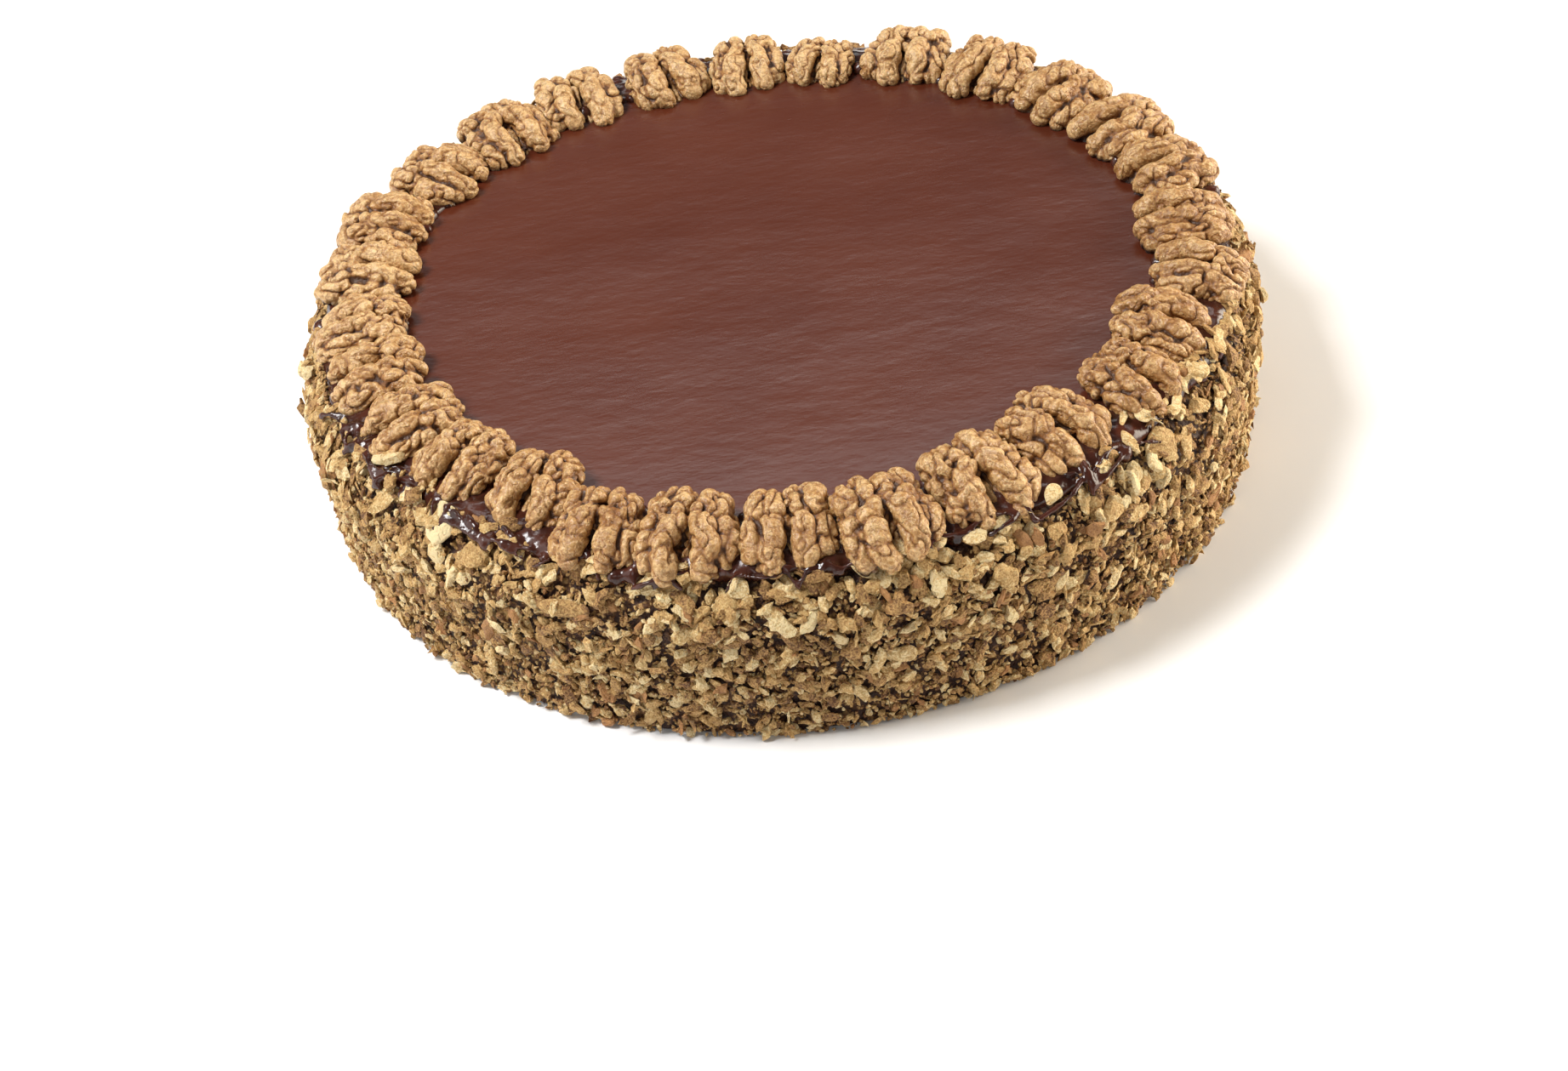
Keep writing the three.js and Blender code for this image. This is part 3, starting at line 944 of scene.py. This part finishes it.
def side_place(direction, up):
    """The point on the coated side and the outward direction there, up being a length along it."""
    around = math.radians(direction)
    if up < SHOULDER_Z:
        radius, height, lean = BODY_RADIUS - BASE_TAPER * (1 - up / SHOULDER_Z), up, 0.0
    else:
        lean = (up - SHOULDER_Z) / SHOULDER_RADIUS
        onto_bead = min(1, max(0, math.degrees(lean) - 50) / 8)
        lift = (2.6 - 2.2 * bump_at(direction, BACK, BACK_WIDTH)) * onto_bead
        radius, height = shoulder(SHOULDER_RADIUS + lift, math.degrees(lean))
    outward = Vector((math.cos(around) * math.cos(lean), math.sin(around) * math.cos(lean), math.sin(lean)))
    return Vector((radius * math.cos(around), radius * math.sin(around), height)), outward


def laid_flat(direction, outward, turn, roll, pitch):
    """The turned axes of a piece that lies on the side: its length level at a turn of 0 degrees, then
    rolled and pitched out of the surface by so many radians."""
    around = math.radians(direction)
    along = Vector((-math.sin(around), math.cos(around), 0))
    along.rotate(Matrix.Rotation(math.radians(turn), 3, outward))
    across = outward.cross(along)
    basis = Matrix((along, across, outward)).transposed()
    turned = Matrix.Rotation(roll, 3, along) @ Matrix.Rotation(pitch, 3, across) @ basis
    return np.array(turned.transposed())


def hand_over_chips(name, mesh, tones, skins, sharp, finish):
    """Marks and shades the joined pieces, edges over so many degrees staying sharp."""
    mark(mesh, "tone", np.concatenate(tones))
    mark(mesh, "skin", np.concatenate(skins))
    mesh.shade_smooth()
    mesh.set_sharp_from_angle(angle=math.radians(sharp))
    piece(name, mesh, finish, "chopped_walnut", "cake")


def sizes(shortest, spread, more_at_top=0.0, rise=2, skew=1.0, wide=1.0, thick=1.0):
    """A rule for a piece's length, width and thickness. Lengths spread up from the shortest, further
    towards the top, and a skew over 1 makes long ones rare. wide and thick are against the length,
    each one number or two to draw between."""
    def drawn(draw, span):
        return draw.uniform(*span) if isinstance(span, tuple) else span

    def size(draw, share_of_height):
        length = shortest + draw.random() ** skew * (spread + more_at_top * share_of_height ** rise)
        return length, length * drawn(draw, wide), length * drawn(draw, thick)

    return size


def scatter(name, shapes, count, seed, size, lean, sunk, finish, lowest=0.0):
    """Presses many chopped pieces into the side. lean is how far they tilt out of it in radians, sunk
    how deep they sit and lowest where they begin, as shares of their thickness and of the coat."""
    draw = random.Random(seed)
    parts, tones, skins = [], [], []
    for index in range(count):
        direction = (61.803 * 360 * (index + draw.random()) / count) % 360
        up = draw.uniform(lowest, 1) * COAT_EDGE[int(direction)]
        if draw.random() < bare_share(direction, up):
            continue
        length, width, thick = size(draw, min(1, up / 50))
        place, outward = side_place(direction, up)
        turned = laid_flat(direction, outward, draw.uniform(0, 360), draw.gauss(0, lean), draw.gauss(0, lean))
        own, triangles = shapes[draw.randrange(len(shapes))]
        pressed = place + outward * (thick * (0.5 - sunk) + draw.uniform(-0.4, 0.5))
        moved = (own * (length, width, thick)) @ turned + np.array(pressed)
        moved[:, 2] += max(0.0, 0.1 - moved[:, 2].min())
        parts.append((moved, triangles))
        tones.append(np.full(len(own), 0.9 * draw.random() + 0.03 * length))
        skins.append(np.full(len(own), float(draw.random() < SHARE_OF_BROWN_SKIN)))
    mesh = joined(name, parts)
    corners, outward = corners_of(mesh)
    rough = 0.25 * noise_at(corners, 1.2, seed) + 0.3 * noise_at(corners, 2.5, seed + 20)
    moved = corners + outward * rough[:, None]
    moved[:, 2] = np.maximum(moved[:, 2], 0.0)
    move_corners(mesh, moved)
    hand_over_chips(name, mesh, tones, skins, 32, finish)


def make_chopped_coat(finish):
    """The side's coat, one kind of piece after another."""
    draw = random.Random(77)
    lumps = [lump_shape(draw) for _ in range(30)]
    flakes = [flake_shape(draw, 0.13, 0.3, 0.5) for _ in range(30)]
    shavings = [flake_shape(draw, 0.08, 0.12, 2.4) for _ in range(16)]
    pebbles = [pebble_shape(draw) for _ in range(30)]
    crumbs = [crumb_shape(draw) for _ in range(40)]
    splinters = [splinter_shape(draw) for _ in range(12)]
    chunks = [large_flake(draw, 8, 4, 3, 30 + index) for index in range(16)]
    chunks = [(corners / (8, 4, 1.1), triangles) for corners, triangles in chunks]

    lump_sizes = sizes(2.2, 2.8, 2.0, wide=(0.5, 0.85), thick=(0.4, 0.6))
    flake_sizes = sizes(1.6, 4.4, 2.6, skew=1.9, wide=(0.45, 0.85), thick=(0.5, 0.9))
    pebble_sizes = sizes(1.3, 4.0, 1.6, rise=1, skew=2.0, wide=(0.45, 0.85), thick=(0.22, 0.42))
    crumb_sizes = sizes(0.8, 1.2, wide=(0.5, 0.9), thick=(0.5, 0.8))
    splinter_sizes = sizes(2.5, 3.0, wide=0.8, thick=0.8)
    shard_sizes = sizes(3.5, 4.5, wide=(0.4, 0.75), thick=0.4)
    shaving_sizes = sizes(2.4, 3.0, wide=(0.35, 0.6), thick=0.5)
    chunk_sizes = sizes(5.0, 5.0, wide=(0.35, 0.6), thick=0.22)

    for name, shapes, count, seed, size, lean, sunk, lowest in (
        ("nut_lumps", lumps, 600, 1, lump_sizes, 0.3, 0.35, 0.0),
        ("nut_flakes", flakes, 3000, 2, flake_sizes, 0.26, 0.2, 0.0),
        ("nut_pebbles_low", pebbles[:15], 3500, 5, pebble_sizes, 0.28, 0.3, 0.0),
        ("nut_pebbles_high", pebbles[15:], 3500, 7, pebble_sizes, 0.3, 0.0, 0.0),
        ("nut_crumbs_low", crumbs[:20], 7600, 3, crumb_sizes, 0.6, 0.3, 0.0),
        ("nut_crumbs_high", crumbs[20:], 7600, 6, crumb_sizes, 0.6, 0.0, 0.0),
        ("nut_splinters", splinters, 350, 4, splinter_sizes, 0.2, 0.1, 0.0),
        ("nut_shards", flakes, 300, 8, shard_sizes, 0.35, 0.05, 0.72),
        ("nut_shavings", shavings, 1300, 10, shaving_sizes, 0.5, 0.0, 0.0),
        ("nut_chunks", chunks, 150, 9, chunk_sizes, 0.15, 0.0, 0.06),
    ):
        scatter(name, shapes, count, seed, size, lean, sunk, finish, lowest)


def make_loose_flakes(finish):
    draw = random.Random(91)
    parts, tones, skins = [], [], []
    for index, (direction, up, length, width, turn, pale) in enumerate(LOOSE_FLAKES):
        corners, triangles = large_flake(draw, length, width, 4, 60 + index)
        place, outward = side_place(direction, up)
        turned = laid_flat(direction, outward, turn, draw.uniform(-0.2, 0.2), draw.uniform(-0.2, 0.2))
        parts.append((corners @ turned + np.array(place + outward * 1.6), triangles))
        tones.append(np.full(len(corners), pale))
        skins.append(np.full(len(corners), float(pale < 0.4)))
    hand_over_chips("nut_loose_flakes", joined("nut_loose_flakes", parts), tones, skins, 40, finish)


# Camera, floor and lamps

def make_camera():
    """Where the photo was taken from: slightly rolled, looking down at the cake."""
    down, roll = math.radians(CAMERA_DOWN), math.radians(CAMERA_ROLL)
    right, up = Vector((1, 0, 0)), Vector((0, math.sin(down), math.cos(down)))
    back = Vector((0, -math.cos(down), math.sin(down)))
    across = right * math.cos(roll) + up * math.sin(roll)
    upward = up * math.cos(roll) - right * math.sin(roll)
    lens = bpy.data.cameras.new("camera")
    lens.lens = CAMERA_LENS
    lens.sensor_width = 36.0
    lens.clip_end = 20.0
    camera = placed("camera", lens)
    turn = Matrix((across, upward, back)).transposed().to_4x4()
    camera.matrix_world = Matrix.Translation(CAMERA_PLACE) @ turn
    bpy.context.scene.camera = camera


def make_lamp(name, place, size, power, tint):
    light = bpy.data.lights.new(name, "AREA")
    light.shape = "RECTANGLE"
    light.size, light.size_y = size
    light.energy = power
    light.color = tint
    aim = (Vector(place) - Vector(CAKE_MIDDLE)).to_track_quat("Z", "Y").to_matrix().to_4x4()
    placed(name, light).matrix_world = Matrix.Translation(place) @ aim


def make_stage():
    shape = bmesh.new()
    bmesh.ops.create_grid(shape, x_segments=1, y_segments=1, size=FLOOR_SIZE)
    floor = placed("floor", mesh_from(shape, "floor"))
    finish = Finish("pale floor", Roughness=0.8)
    tint = finish.mottle(60.0).colours((0.3, (0.90, 0.90, 0.90)), (0.7, (0.93, 0.93, 0.93)))
    floor.data.materials.append(finish.feed(Base_Color=tint))

    world = bpy.data.worlds.new("studio")
    world.use_nodes = True
    background = world.node_tree.nodes["Background"]
    background.inputs["Color"].default_value = (1, 1, 1, 1)
    background.inputs["Strength"].default_value = SURROUNDINGS_STRENGTH
    bpy.context.scene.world = world
    for lamp in LAMPS:
        make_lamp(*lamp)
    bpy.context.scene.view_settings.view_transform = "Standard"


make_camera()
make_walnuts(walnut_skin())
make_glaze(satin_glaze())
make_ganache(dark_ganache())
make_core(chocolate_coat())
chopped_finish = chopped_walnut()
make_chopped_coat(chopped_finish)
make_loose_flakes(chopped_finish)
make_stage()
